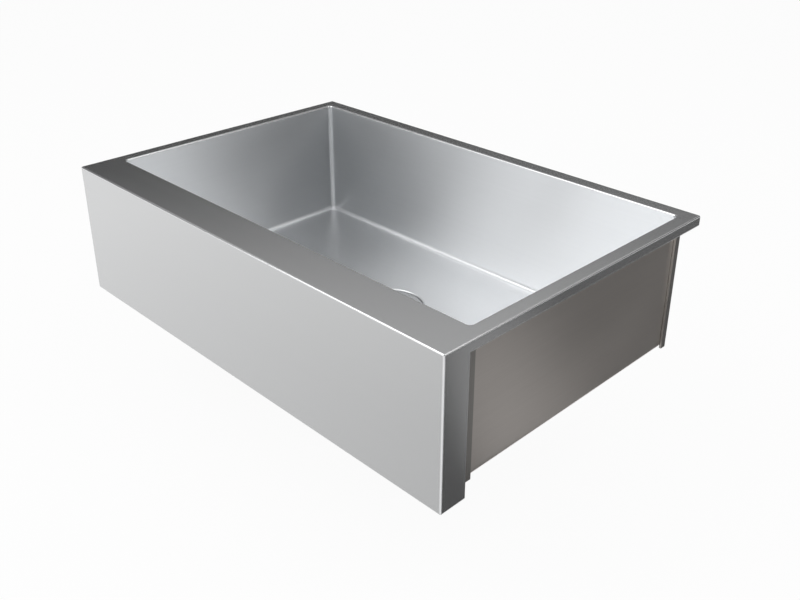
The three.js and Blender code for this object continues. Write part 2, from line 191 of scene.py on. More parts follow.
# Soft patches left by wiping, handling and age: a mask from 0 to 1.
def makePatchGroup():
    group = newGroup(
        "softPatches",
        [
            ("Vector", "Vector", None),
            ("Scale", "Float", 4.0),
            ("Low", "Float", 0.4),
            ("High", "Float", 0.7),
        ],
        [("Mask", "Float"), ("Height", "Float")],
    )
    given = group.nodes.new("NodeGroupInput").outputs
    cloud = noiseOf(group, given["Vector"], given["Scale"], 4.0, 0.55, 0.3)
    mask = shareOf(group, cloud, given["Low"], given["High"], interpolation_type="SMOOTHSTEP")
    addNode(group, "NodeGroupOutput", {"Mask": mask, "Height": cloud})
    return group


grainGroup = makeGrainGroup()
patchGroup = makePatchGroup()


def patchesOf(tree, place, scale, low, high):
    inputs = {"Vector": place.outputs["Object"], "Scale": scale, "Low": low, "High": high}
    return addNode(tree, "ShaderNodeGroup", inputs, node_tree=patchGroup).outputs


def bumpOf(tree, strength, distance, height):
    inputs = {"Strength": strength, "Distance": distance, "Height": height}
    return addNode(tree, "ShaderNodeBump", inputs).outputs["Normal"]


def addSurface(tree, inputs):
    surface = addNode(tree, "ShaderNodeBsdfPrincipled", inputs)
    addNode(tree, "ShaderNodeOutputMaterial", {"Surface": surface.outputs["BSDF"]})


grooveDepth = 0.00002  # metres
wipedPatches = {"scale": 5.0, "low": 0.42, "high": 0.68}

# "grooves" gives how many grooves a metre holds along X, Y and Z, and "along" which way they run: a brushed
# finish spreads a reflection across them. The side values are for faces that look along X.
brushedSteel = {
    "color": (0.7, 0.705, 0.71, 1),
    "grooveColor": (0.685, 0.69, 0.695, 1),
    "roughness": 0.25,
    "roughnessSpread": 0.02,
    "along": (1, 0, 0),
    "sideGrooves": (700, 4, 1000),
    "sideAlong": (0, 1, 0),
    "anisotropy": 0.55,
    "wipedRoughness": 0.01,
}
# Paler than the deck's and apron's brushed steel, which brightens the bowl's walls: painted light.
wallSteel = {
    "color": (0.81, 0.825, 0.84, 1),
    "grooveColor": (0.79, 0.805, 0.82, 1),
    "roughness": 0.38,
    "roughnessSpread": 0.03,
    "anisotropy": 1.0,
    "wipedRoughness": 0.01,
    "bump": 0.1,
}
millSteel = {"roughnessSpread": 0.05, "wipedRoughness": 0.05, "bump": 0.2}
steelFinishes = {
    "apronSteel": {**brushedSteel, "grooves": (4, 700, 1000), "bump": 0.05},
    "deckSteel": {**brushedSteel, "grooves": (4, 1000, 700), "bump": 0.03},
    "longWallSteel": {**wallSteel, "grooves": (4, 700, 1000), "along": (1, 0, 0)},
    "endWallSteel": {**wallSteel, "grooves": (700, 4, 1000), "along": (0, 1, 0)},
    # Paler still than the walls' steel, which brightens the bowl's floor: painted light.
    "floorSteel": {
        "color": (0.92, 0.93, 0.94, 1),
        "grooveColor": (0.9, 0.91, 0.92, 1),
        "roughness": 0.33,
        "roughnessSpread": 0.02,
        "grooves": (4, 1000, 700),
        "wipedRoughness": 0.01,
        "bump": 0.05,
    },
    # Rounds: an isotropic finish, with a colour paler than the walls' that paints highlight lines on them.
    "cornerSteel": {
        "color": (0.9, 0.91, 0.92, 1),
        "grooveColor": (0.88, 0.89, 0.9, 1),
        "roughness": 0.42,
        "roughnessSpread": 0.02,
        "grooves": (500, 500, 500),
        "wipedRoughness": 0.01,
        "bump": 0.03,
    },
    "millSteel": {
        **millSteel,
        "color": (0.8, 0.75, 0.71, 1),
        "grooveColor": (0.765, 0.715, 0.675, 1),
        "roughness": 0.3,
        "grooves": (60, 8, 400),
    },
    # Much darker than the other mill steel, which shades the corner angles: painted shade.
    "angleSteel": {
        **millSteel,
        "color": (0.47, 0.455, 0.435, 1),
        "grooveColor": (0.43, 0.415, 0.395, 1),
        "roughness": 0.34,
        "grooves": (300, 300, 10),
    },
    "drainSteel": {
        "color": (0.72, 0.725, 0.73, 1),
        "grooveColor": (0.69, 0.695, 0.7, 1),
        "roughness": 0.16,
        "roughnessSpread": 0.04,
        "grooves": (160, 160, 1600),
        "wipedRoughness": 0.04,
        "bump": 0.1,
    },
}


def stretch(tree, place, grooves):
    vector = {"Vector": place.outputs["Object"], "Scale": grooves}
    return addNode(tree, "ShaderNodeMapping", vector).outputs["Vector"]


def acrossGrooves(tree, place, along):
    inputs = {0: place.outputs["Normal"], 1: along}
    return addNode(tree, "ShaderNodeVectorMath", inputs, operation="CROSS_PRODUCT").outputs["Vector"]


def facingX(tree, place):
    split = addNode(tree, "ShaderNodeSeparateXYZ", {"Vector": place.outputs["Normal"]})
    return mathOf(tree, "GREATER_THAN", mathOf(tree, "ABSOLUTE", split.outputs["X"]), 0.7)


def makeSteel(name, finish):
    material = newMaterial(name)
    tree = material.node_tree
    place = addNode(tree, "ShaderNodeTexCoord")
    vector = stretch(tree, place, finish["grooves"])
    if "sideGrooves" in finish:
        facing = facingX(tree, place)
        vector = mixOf(tree, "VECTOR", facing, vector, stretch(tree, place, finish["sideGrooves"]))
    grainInputs = {
        "Vector": vector,
        "Base Color": finish["color"],
        "Groove Color": finish["grooveColor"],
        "Roughness": finish["roughness"],
        "Roughness Spread": finish["roughnessSpread"],
    }
    grain = addNode(tree, "ShaderNodeGroup", grainInputs, node_tree=grainGroup).outputs
    wiped = patchesOf(tree, place, **wipedPatches)
    rough = mathOf(tree, "MULTIPLY_ADD", wiped["Mask"], finish["wipedRoughness"], grain["Roughness"])
    inputs = {
        "Base Color": grain["Color"],
        "Metallic": 1.0,
        "Roughness": rough,
        "Normal": bumpOf(tree, finish["bump"], grooveDepth, grain["Height"]),
    }
    if "along" in finish:
        tangent = acrossGrooves(tree, place, finish["along"])
        if "sideAlong" in finish:
            sideTangent = acrossGrooves(tree, place, finish["sideAlong"])
            tangent = mixOf(tree, "VECTOR", facing, tangent, sideTangent)
        inputs.update({"Anisotropic": finish["anisotropy"], "Tangent": tangent})
    addSurface(tree, inputs)
    return material


softFinishes = {
    "castBrass": {
        "color": (0.62, 0.46, 0.21, 1),
        "patchColor": (0.4, 0.28, 0.13, 1),
        "metallic": 1.0,
        "roughness": 0.34,
        "patchRoughness": 0.22,
        "patchScale": 60.0,
        "bump": 0.25,
        "bumpDistance": 0.0002,
        "specular": 0.5,
    },
    "blackRubber": {
        "color": (0.028, 0.028, 0.03, 1),
        "patchColor": (0.05, 0.05, 0.052, 1),
        "roughness": 0.6,
        "patchRoughness": 0.2,
        "patchScale": 45.0,
        "bump": 0.2,
        "bumpDistance": 0.0001,
        "specular": 0.4,
    },
    "pressedFibre": {
        "color": (0.5, 0.4, 0.27, 1),
        "patchColor": (0.36, 0.28, 0.18, 1),
        "roughness": 0.85,
        "patchRoughness": 0.1,
        "patchScale": 220.0,
        "bump": 0.35,
        "bumpDistance": 0.0002,
        "specular": 0.3,
    },
    "dampingRubber": {
        "color": (0.085, 0.09, 0.097, 1),
        "patchColor": (0.13, 0.135, 0.14, 1),
        "roughness": 0.78,
        "patchRoughness": 0.15,
        "patchScale": 150.0,
        "bump": 0.5,
        "bumpDistance": 0.0006,
        "specular": 0.35,
    },
    "whitePlastic": {
        "color": (0.78, 0.77, 0.72, 1),
        "patchColor": (0.7, 0.68, 0.62, 1),
        "roughness": 0.42,
        "patchRoughness": 0.12,
        "patchScale": 70.0,
        "bump": 0.1,
        "bumpDistance": 0.0001,
        "specular": 0.5,
    },
}


def makeSoftFinish(name, finish):
    material = newMaterial(name)
    tree = material.node_tree
    patches = patchesOf(tree, addNode(tree, "ShaderNodeTexCoord"), finish["patchScale"], 0.35, 0.7)
    rough = mathOf(tree, "MULTIPLY_ADD", patches["Mask"], finish["patchRoughness"], finish["roughness"])
    inputs = {
        "Base Color": mixOf(tree, "RGBA", patches["Mask"], finish["color"], finish["patchColor"]),
        "Metallic": finish.get("metallic", 0.0),
        "Roughness": rough,
        "Specular IOR Level": finish["specular"],
        "Normal": bumpOf(tree, finish["bump"], finish["bumpDistance"], patches["Height"]),
    }
    addSurface(tree, inputs)
    return material


looks = {name: makeSteel(name, finish) for name, finish in steelFinishes.items()}
looks.update({name: makeSoftFinish(name, finish) for name, finish in softFinishes.items()})
print("materials made,", len(looks))


def cubeMesh(low, high):
    bm = bmesh.new()
    bmesh.ops.create_cube(bm, size=1)
    stretchBy(bm, Vector(high) - Vector(low))
    moveBy(bm, (Vector(low) + Vector(high)) / 2)
    return bm


def facesWhere(bm, test):
    bm.normal_update()
    return [face for face in bm.faces if test(face.calc_center_median(), face.normal)]


def edgesWhere(bm, test):
    return [edge for edge in bm.edges if all(test(vert.co) for vert in edge.verts)]


# From these angles between two faces, in radians, an edge is a fold, a cut, a nut's edge or shaded sharp.
foldAngle = 1
cutAngle = math.radians(60)
nutAngle = math.radians(50)
sharpAngle = math.radians(32)


def foldsWhere(bm, test):
    bm.normal_update()
    return [edge for edge in edgesWhere(bm, test) if edge.calc_face_angle(0) > foldAngle]


def rimsWhere(bm, test):
    return [edge for edge in edgesWhere(bm, test) if edge.is_boundary]


def moveBy(bm, vec):
    bmesh.ops.translate(bm, vec=vec, verts=bm.verts)


def stretchBy(bm, vec):
    bmesh.ops.scale(bm, vec=vec, verts=bm.verts)


def scaleBy(bm, factor):
    stretchBy(bm, (factor,) * 3)


# Turns what is drawn about the Z axis.
def spinAbout(bm, geom, angle, steps, rise=0, merge=False):
    way = {"cent": (0, 0, 0), "axis": (0, 0, 1), "dvec": (0, 0, rise)}
    bmesh.ops.spin(bm, geom=geom, **way, angle=angle, steps=steps, use_merge=merge)


def uprightEdges(bm):
    def isUpright(edge):
        along = edge.verts[0].co - edge.verts[1].co
        return abs(along.z) > 0.9 * along.length

    return [edge for edge in bm.edges if isUpright(edge)]


def dropFaces(bm, faces):
    bmesh.ops.delete(bm, geom=faces, context="FACES")


def dropWhere(bm, test):
    dropFaces(bm, facesWhere(bm, test))


# Draws faces out along a vector, with walls behind them.
def drawOut(bm, faces, vec, **settings):
    drawn = bmesh.ops.extrude_face_region(bm, geom=faces, **settings)
    moved = [item for item in drawn["geom"] if isinstance(item, bmesh.types.BMVert)]
    bmesh.ops.translate(bm, vec=vec, verts=moved)


def roundEdges(bm, edges, radius, steps):
    bmesh.ops.bevel(
        bm,
        geom=edges,
        offset=radius,
        offset_type="OFFSET",
        segments=steps,
        profile=0.5,
        affect="EDGES",
        clamp_overlap=True,
        material=-1,
    )


# Cuts by a plane and drops what lies on the side that its normal points to.
def cutAway(bm, point, normal):
    geom = bm.verts[:] + bm.edges[:] + bm.faces[:]
    bmesh.ops.bisect_plane(bm, geom=geom, plane_co=point, plane_no=normal, clear_outer=True)


# Cuts only the given faces by a plane, and drops nothing.
def cutAcross(bm, faces, point, normal):
    edges = {edge for face in faces for edge in face.edges}
    verts = {vert for face in faces for vert in face.verts}
    bmesh.ops.bisect_plane(bm, geom=[*verts, *edges, *faces], plane_co=point, plane_no=normal)


def addMesh(bm, other):
    held = meshFrom("held", other)
    bm.from_mesh(held)
    bpy.data.meshes.remove(held)


# Turns the corners that have a third value, a radius, into arcs.
def roundedOutline(corners, steps):
    outline = []
    for i, corner in enumerate(corners):
        here = Vector(corner[:2])
        if len(corner) == 2:
            outline.append(here)
            continue
        before = (Vector(corners[i - 1][:2]) - here).normalized()
        after = (Vector(corners[(i + 1) % len(corners)][:2]) - here).normalized()
        half = before.angle(after) / 2
        centre = here + (before + after).normalized() * corner[2] / math.sin(half)
        start = here + before * corner[2] / math.tan(half) - centre
        end = here + after * corner[2] / math.tan(half) - centre
        turn = start.angle_signed(end)
        for k in range(steps + 1):
            outline.append(centre + Matrix.Rotation(-turn * k / steps, 2) @ start)
    return outline


# An outline with corners of [radius, height], turned about the Z axis. A closed one makes a ring.
def turnedMesh(corners, steps=96, closed=True, roundSteps=5):
    bm = bmesh.new()
    verts = [bm.verts.new((point.x, 0, point.y)) for point in roundedOutline(corners, roundSteps)]
    pairs = list(zip(verts, verts[1:]))
    if closed:
        pairs.append((verts[-1], verts[0]))
    edges = [bm.edges.new(pair) for pair in pairs]
    spinAbout(bm, verts + edges, math.tau, steps, merge=True)
    bmesh.ops.remove_doubles(bm, verts=bm.verts, dist=0.001)
    bmesh.ops.recalc_face_normals(bm, faces=bm.faces)
    return bm


# The piece's mesh with its modifiers applied.
def applyModifiers(piece):
    graph = bpy.context.evaluated_depsgraph_get()
    old = piece.data
    piece.data = bpy.data.meshes.new_from_object(piece.evaluated_get(graph))
    piece.modifiers.clear()
    bpy.data.meshes.remove(old)


# A bent sheet gets its thickness away from its faces' normals, and its cut edges are broken by deburr,
# apart from those where isSeam holds.
def thicken(piece, wall, deburr, isSeam):
    solid = piece.modifiers.new("sheet", "SOLIDIFY")
    solid.thickness = wall / perMetre
    solid.offset = -1
    solid.use_even_offset = True
    solid.use_quality_normals = True
    last = len(piece.data.materials)  # Blender keeps this to the last material, for the back and the edges
    solid.material_offset = solid.material_offset_rim = last
    applyModifiers(piece)
    if deburr:
        bm = bmesh.new()
        bm.from_mesh(piece.data)
        scaleBy(bm, perMetre)
        bm.normal_update()
        sharp = [edge for edge in bm.edges if edge.calc_face_angle(0) > cutAngle]
        cut = [edge for edge in sharp if not all(isSeam(vert.co) for vert in edge.verts)]
        roundEdges(bm, cut, deburr, 2)
        scaleBy(bm, 1 / perMetre)
        bm.to_mesh(piece.data)
        bm.free()


# paint gives further looks, each with the test of the faces that get it.
def finishPiece(
    name, bm, look, node, body="sink", wall=0, backLook=None, deburr=0, isSeam=None, cutter=None, paint=None
):
    used = [look]
    for other, test in (paint or {}).items():
        for face in facesWhere(bm, test):
            if other not in used:
                used.append(other)
            face.material_index = used.index(other)
    scaleBy(bm, 1 / perMetre)
    piece = addObject(name, meshFrom(name, bm))
    for made in [*used, backLook] if backLook else used:
        piece.data.materials.append(looks[made])
    if wall:
        thicken(piece, wall, deburr, isSeam or (lambda place: False))
    if cutter:
        cutOut(piece, cutter)
    piece.data.name = name
    for polygon in piece.data.polygons:
        polygon.use_smooth = True
    piece.data.set_sharp_from_angle(angle=sharpAngle)
    shading = piece.modifiers.new("shading", "WEIGHTED_NORMAL")
    shading.keep_sharp = True
    shading.weight = 100
    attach(piece, body)
    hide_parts(node)


# Cuts a mesh of closed shapes out of a piece.
def cutOut(piece, cutter):
    scaleBy(cutter, 1 / perMetre)
    mesh = meshFrom("cutter", cutter)
    tool = addObject("cutter", mesh)
    cut = piece.modifiers.new("cut", "BOOLEAN")
    cut.object = tool
    cut.operation = "DIFFERENCE"
    cut.solver = "EXACT"
    applyModifiers(piece)
    bpy.data.objects.remove(tool)
    bpy.data.meshes.remove(mesh)


sheetMetal = {
    "thickness": 1.5,
    "fold": 2.5,  # outside radius of a fold
    "foldSteps": 6,
    "deburr": 0.2,
    "beyond": 20,  # how far a mesh runs past the plane that trims it
}
deckSheet = {"lipWidth": 12}
apronSheet = {"lipDepth": 20}
bowlShape = {"corner": 6.5, "cornerSteps": 8, "cove": 6, "coveSteps": 6}

deckLow, deckHigh = boxOf("rim_deck")
apronLow, apronHigh = boxOf("apron_front")
endWallLow, endWallHigh = boxOf("bowl_wall_right")
frontWallLow, _ = boxOf("bowl_wall_front")
_, backWallHigh = boxOf("bowl_wall_back")
_, panHigh = boxOf("bowl_floor_pan")
angleLow, angleHigh = boxOf("corner_angle_back_right")
sheetWall = sheetMetal["thickness"]
bowlX = endWallLow.x
bowlFront = frontWallLow.y + sheetWall
bowlBack = backWallHigh.y - sheetWall
bowlFloor = angleLow.z + sheetWall
wallTop = endWallHigh.z
drainLow, drainHigh = boxOf("strainer_body")
drainY = (drainLow.y + drainHigh.y) / 2
_, gasketHigh = boxOf("drain_gasket")
onSeam = 0.05  # how near a seam's plane counts as on it
onPlane = 0.01  # the same for another plane


# Upright walls of the bowl's opening, with its round corners, facing the bowl.
def openingWalls(bottom, top):
    bm = cubeMesh((-bowlX, bowlFront, bottom), (bowlX, bowlBack, top))
    roundEdges(bm, uprightEdges(bm), bowlShape["corner"], bowlShape["cornerSteps"])
    bmesh.ops.reverse_faces(bm, faces=bm.faces)
    return bm


# Faces of the bowl by the way they look, for the finishes of its long and end walls, corners and coves.
def isLongUpright(place, normal):
    return abs(normal.z) < uprightNormal and abs(normal.y) >= abs(normal.x) and inBowl(place)


def isEndUpright(place, normal):
    return abs(normal.z) < uprightNormal and abs(normal.y) < abs(normal.x) and inBowl(place)


def isRounded(place, normal):
    isFlat = max(abs(part) for part in normal) > flatNormal
    isCove = inBowl(place) and place.z < deckHigh.z - sheetMetal["fold"]
    return not isFlat and not isNearDrain(place) and (isCove or abs(normal.z) < uprightNormal)


def inBowl(place):
    isInside = abs(place.x) < bowlX + 1 and bowlFront - 1 < place.y < bowlBack + 1
    return isInside and not isNearDrain(place)


def isNearDrain(place):
    return Vector((place.x, place.y - drainY)).length < drainHigh.x + 10 and place.z < bowlFloor + 1


# Corners, coves and folds get the paler finish that paints highlight lines on them.
bowlPaint = {"longWallSteel": isLongUpright, "endWallSteel": isEndUpright, "cornerSteel": isRounded}


# A piece bent from sheet, with mill steel at its back and edges.
def finishSheet(name, bm, look, node, deburr=sheetMetal["deburr"], **options):
    finishPiece(name, bm, look, node, wall=sheetWall, backLook="millSteel", deburr=deburr, **options)


def makeDeck():
    fold = sheetMetal["fold"]
    bm = cubeMesh(deckLow, deckHigh)
    roundEdges(bm, bm.edges[:], fold, sheetMetal["foldSteps"])
    dropWhere(bm, lambda place, normal: normal.z > flatNormal)
    under = facesWhere(bm, lambda place, normal: normal.z < -flatNormal)
    lip = deckSheet["lipWidth"] - fold
    bmesh.ops.inset_region(bm, faces=under, thickness=lip, use_even_offset=True, use_boundary=True)
    dropFaces(bm, under)
    opening = openingWalls(wallTop, deckHigh.z)
    dropWhere(opening, lambda place, normal: abs(normal.z) > 0.9)
    addMesh(bm, opening)
    onTop = rimsWhere(bm, lambda place: place.z > deckHigh.z - onPlane)
    bmesh.ops.triangle_fill(bm, edges=onTop, use_beauty=True, normal=(0, 0, 1))
    folded = foldsWhere(bm, lambda place: place.z > deckHigh.z - onPlane and abs(place.x) < bowlX + 1)
    roundEdges(bm, folded, fold, sheetMetal["foldSteps"])

    def isBelowSeam(place, normal):
        return place.z < apronHigh.z and place.y < apronHigh.y

    outside = facesWhere(bm, lambda place, normal: abs(place.x) > bowlX + 5 or place.y < bowlFront - 5)
    cutAcross(bm, outside, (0, 0, apronHigh.z), (0, 0, 1))
    low = facesWhere(bm, lambda place, normal: place.z < apronHigh.z and abs(place.x) > bowlX + 5)
    cutAcross(bm, low, (0, apronHigh.y, 0), (0, 1, 0))
    dropWhere(bm, isBelowSeam)

    def isSeam(place):
        atApron = abs(place.z - apronHigh.z) < onSeam or abs(place.y - apronHigh.y) < onSeam
        return (atApron and place.z < apronHigh.z + onSeam) or abs(place.z - wallTop) < onSeam

    finishSheet("deckSheet", bm, "deckSteel", "rim_deck", paint=bowlPaint, isSeam=isSeam)


def makeApron():
    beyond = sheetMetal["beyond"]
    fold = sheetMetal["fold"]
    bm = cubeMesh(apronLow, apronHigh + Vector((0, beyond, beyond)))
    roundEdges(bm, bm.edges[:], fold, sheetMetal["foldSteps"])
    cutAway(bm, (0, apronHigh.y, 0), (0, 1, 0))
    cutAway(bm, (0, 0, apronHigh.z), (0, 0, 1))
    lipEnd = apronLow.y + apronSheet["lipDepth"]
    under = facesWhere(bm, lambda place, normal: normal.z < -flatNormal)
    cutAcross(bm, under, (0, lipEnd, 0), (0, 1, 0))
    dropWhere(bm, lambda place, normal: normal.z < -flatNormal and place.y > lipEnd)

    def isSeam(place):
        return abs(place.z - apronHigh.z) < onSeam

    # The apron's folds get the paler finish that paints highlight lines on them.
    paint = {"cornerSteel": isRounded}
    finishSheet("apronSheet", bm, "apronSteel", "apron_front", paint=paint, isSeam=isSeam)


# The bowl's inside, open at the top, facing inwards.
def bowlShell():
    bm = openingWalls(bowlFloor, wallTop + sheetMetal["beyond"])
    foot = foldsWhere(bm, lambda place: place.z < bowlFloor + onPlane)
    roundEdges(bm, foot, bowlShape["cove"], bowlShape["coveSteps"])
    cutAway(bm, (0, 0, wallTop), (0, 0, 1))
    return bm


drainRecess = {"clearance": 1.4, "insideRound": 1, "holeRadius": 44.45, "steps": 96}


# The pressed recess round the drain hole, down to the seat, facing up.
def recessMesh():
    fold = sheetMetal["fold"]
    seat = gasketHigh.z + sheetWall
    radius = drainHigh.x + drainRecess["clearance"]
    corners = [
        (radius + fold, bowlFloor),
        (radius, bowlFloor, fold - 0.001),
        (radius, seat, drainRecess["insideRound"]),
        (drainRecess["holeRadius"], seat),
    ]
    bm = turnedMesh(corners, drainRecess["steps"], False, sheetMetal["foldSteps"])
    bm.normal_update()
    if sum(face.normal.z for face in bm.faces) < 0:
        bmesh.ops.reverse_faces(bm, faces=bm.faces)
    moveBy(bm, (0, drainY, 0))
    return bm


def makePan():
    bm = bowlShell()
    cutAway(bm, (0, 0, panHigh.z), (0, 0, 1))
    dropWhere(bm, lambda place, normal: normal.z > flatNormal)
    addMesh(bm, recessMesh())
    level = rimsWhere(bm, lambda place: abs(place.z - bowlFloor) < 0.001)
    bmesh.ops.triangle_fill(bm, edges=level, use_beauty=True, normal=(0, 0, 1))

    def isSeam(place):
        return abs(place.z - panHigh.z) < onSeam

    finishSheet("bowlPan", bm, "floorSteel", "bowl_floor_pan", paint=bowlPaint, isSeam=isSeam)


# A wall is what is left of the bowl between the planes that trim it.
frontSeam = (0, endWallLow.y, 0)
backSeam = (0, endWallHigh.y, 0)
endTrims = [(frontSeam, (0, -1, 0)), (backSeam, (0, 1, 0))]
bowlWalls = [
    {"side": "front", "look": "longWallSteel", "trims": [(frontSeam, (0, 1, 0))]},
    {"side": "back", "look": "longWallSteel", "trims": [(backSeam, (0, -1, 0))]},
    {"side": "left", "look": "endWallSteel", "trims": [*endTrims, ((0, 0, 0), (1, 0, 0))]},
    {"side": "right", "look": "endWallSteel", "trims": [*endTrims, ((0, 0, 0), (-1, 0, 0))]},
]


def makeWall(values):
    bm = bowlShell()
    cutAway(bm, (0, 0, panHigh.z), (0, 0, -1))
    for point, normal in values["trims"]:
        cutAway(bm, point, normal)
    side = values["side"]
    finishSheet(side + "Wall", bm, values["look"], "bowl_wall_" + side, deburr=0, paint=bowlPaint)


makeDeck()
makeApron()
makePan()
for values in bowlWalls:
    makeWall(values)
print("deck, apron and bowl made")


cornerAngle = {"thickness": 4, "leg": 11, "edge": 0.5, "edgeSteps": 3}
soundPad = {"corner": 20, "cornerSteps": 8, "edge": 0.8, "edgeSteps": 3}


# sideX and sideY are -1 or 1. The mesh is made at the back right corner and mirrored from there.
def makeCornerAngle(name, node, sideX, sideY):
    tip = cornerAngle["leg"]
    wall = cornerAngle["thickness"]
    bowlMiddle = (bowlFront + bowlBack) / 2
    corner = Vector((angleHigh.x, angleHigh.y - bowlMiddle, angleLow.z))
    outline = [(0, 0), (0, -tip), (-wall, -tip), (-wall, -wall), (-tip, -wall), (-tip, 0)]
    bm = bmesh.new()
    face = bm.faces.new([bm.verts.new((x, y, 0)) for x, y in outline])
    drawOut(bm, [face], (0, 0, angleHigh.z - angleLow.z), use_keep_orig=True)
    moveBy(bm, corner)
    stretchBy(bm, (sideX, sideY, 1))
    moveBy(bm, (0, bowlMiddle, 0))
    bmesh.ops.recalc_face_normals(bm, faces=bm.faces)
    roundEdges(bm, bm.edges[:], cornerAngle["edge"], cornerAngle["edgeSteps"])
    finishPiece(name, bm, "angleSteel", node)


def makeBrace(name, node, side):
    low, high = boxOf("apron_brace_right")
    beyond = Vector((sheetMetal["beyond"], 0, 0))
    bm = cubeMesh(low, high + beyond)
    bends = [edge for edge in uprightEdges(bm) if edge.verts[0].co.x < high.x]
    roundEdges(bm, bends, sheetMetal["fold"], sheetMetal["foldSteps"])
    cutAway(bm, (high.x, 0, 0), (1, 0, 0))
    dropWhere(bm, lambda place, normal: abs(normal.z) > flatNormal)
    if side < 0:
        stretchBy(bm, (-1, 1, 1))
        bmesh.ops.reverse_faces(bm, faces=bm.faces)
    finishSheet(name, bm, "millSteel", node)


def makeSoundPad(name, node):
    low, high = boxOf(node)
    bm = cubeMesh(low, high)
    roundEdges(bm, uprightEdges(bm), soundPad["corner"], soundPad["cornerSteps"])
    rim = foldsWhere(bm, lambda place: place.z < low.z + onPlane)
    roundEdges(bm, rim, soundPad["edge"], soundPad["edgeSteps"])
    finishPiece(name, bm, "dampingRubber", node)


for alongName, sideY in (("Front", -1), ("Back", 1)):
    for acrossName, sideX in (("Left", -1), ("Right", 1)):
        node = "corner_angle_" + alongName.lower() + "_" + acrossName.lower()
        makeCornerAngle("angle" + alongName + acrossName, node, sideX, sideY)
for acrossName, sideX in (("Left", -1), ("Right", 1)):
    makeBrace("brace" + acrossName, "apron_brace_" + acrossName.lower(), sideX)
    makeSoundPad("pad" + acrossName, "sound_pad_" + acrossName.lower())
print("angles, braces and pads made")


# Turned pieces lie on the drain's axis.
def toDrain(bm):
    moveBy(bm, (0, drainY, 0))
    return bm


# A turned ring with its four edges rounded.
def ringMesh(inside, outside, low, high, edge, roundSteps=3, steps=96):
    corners = [(inside, low, edge), (outside, low, edge), (outside, high, edge), (inside, high, edge)]
    return turnedMesh(corners, steps, roundSteps=roundSteps)


strainer = {
    "flangeThickness": 1.6,
    "flangeBevel": 0.9,
    "cupWall": 1.6,
    "cupDepth": 46,
    "cupRound": 6,
    "neckRadius": 42.5,
    "threadDepth": 0.8,
    "threadPitch": 2.3,
    "threadTurns": 13,
    "threadTip": 0.15,
    "threadGap": 0.25,
    "threadSunk": 0.3,
    "threadSteps": 72,
    "plainNeck": 3,
    "mouthRound": 1.5,
    "seatRun": 7,
    "outletInside": 20,
    "outletWall": 3.6,
    "barWidth": 6,
    "barHeight": 4,
    "barDrop": 4,
    "barEdge": 0.6,
    "hubRadius": 6,
    "hubHole": 3,
    "edge": 0.3,
}
cupInside = strainer["neckRadius"] - strainer["cupWall"]
cupFloor = drainHigh.z - strainer["cupDepth"]
seatBottom = cupFloor - strainer["seatRun"]
barTop = seatBottom - strainer["barDrop"]


def threadRidge(bottom):
    values = strainer
    root = values["neckRadius"] - values["threadDepth"]
    crest = values["neckRadius"]
    foot = root - values["threadSunk"]
    half = values["threadPitch"] / 2 - values["threadGap"]
    tip = values["threadTip"]
    section = [(foot, -half), (crest, -tip), (crest, tip), (foot, half)]
    bm = bmesh.new()
    verts = [bm.verts.new((radius, 0, bottom + height)) for radius, height in section]
    edges = [bm.edges.new((verts[i - 1], verts[i])) for i in range(len(verts))]
    steps = values["threadTurns"] * values["threadSteps"]
    rise = values["threadPitch"] / values["threadSteps"]
    spinAbout(bm, verts + edges, math.tau * values["threadTurns"], steps, rise)
    ends = [edge for edge in bm.edges if edge.is_boundary]
    bmesh.ops.holes_fill(bm, edges=ends, sides=len(section))
    bmesh.ops.recalc_face_normals(bm, faces=bm.faces)
    return bm


def makeStrainer():
    values = strainer
    flangeUnder = drainHigh.z - values["flangeThickness"]
    neck = values["neckRadius"]
    root = neck - values["threadDepth"]
    neckFoot = flangeUnder - values["plainNeck"]
    cupUnder = cupFloor - values["cupWall"]
    inside = values["outletInside"]
    seatRadius = inside + values["seatRun"]
    outletRadius = inside + values["outletWall"]
    edge = values["edge"]
    corners = [
        (inside, drainLow.z, edge),
        (outletRadius, drainLow.z, edge),
        (outletRadius, seatBottom, 1),
        (seatRadius + values["cupWall"], cupUnder, 1),
        (root, cupUnder, values["cupRound"]),
        (root, neckFoot, 0.1),
        (neck, neckFoot + values["threadDepth"], 0.1),
        (neck, flangeUnder, edge),
        (drainHigh.x, flangeUnder, edge),
        (drainHigh.x, drainHigh.z, values["flangeBevel"]),
        (cupInside, drainHigh.z, values["mouthRound"]),
        (cupInside, cupFloor, values["cupRound"]),
        (seatRadius, cupFloor, 0.8),
        (inside, seatBottom, 0.8),
    ]
    bm = turnedMesh(corners)
    threadFoot = neckFoot - values["threadPitch"] * (values["threadTurns"] + 0.5)
    addMesh(bm, threadRidge(threadFoot))
    barLow = barTop - values["barHeight"]
    addMesh(bm, ringMesh(values["hubHole"], values["hubRadius"], barLow, barTop, edge, 2, 48))
    for side in (-1, 1):
        ends = sorted((side * (values["hubRadius"] - 1), side * (outletRadius - values["outletWall"] / 2)))
        halfBar = values["barWidth"] / 2
        bar = cubeMesh((ends[0], -halfBar, barLow), (ends[1], halfBar, barTop))
        roundEdges(bar, bar.edges[:], values["barEdge"], 2)
        addMesh(bm, bar)
    finishPiece("strainerCup", toDrain(bm), "drainSteel", "strainer_body")


washers = [
    {"name": "flangeSealRing", "node": "flange_seal", "inside": 43, "edge": 0.3, "look": "blackRubber"},
    {"name": "gasketRing", "node": "drain_gasket", "inside": 43, "edge": 0.6, "look": "blackRubber"},
    {"name": "fibreRing", "node": "friction_ring", "inside": 43, "edge": 0.15, "look": "pressedFibre"},
    {"name": "slipWasher", "node": "tailpiece_washer", "inside": 17.85, "edge": 0.4, "look": "whitePlastic"},
]


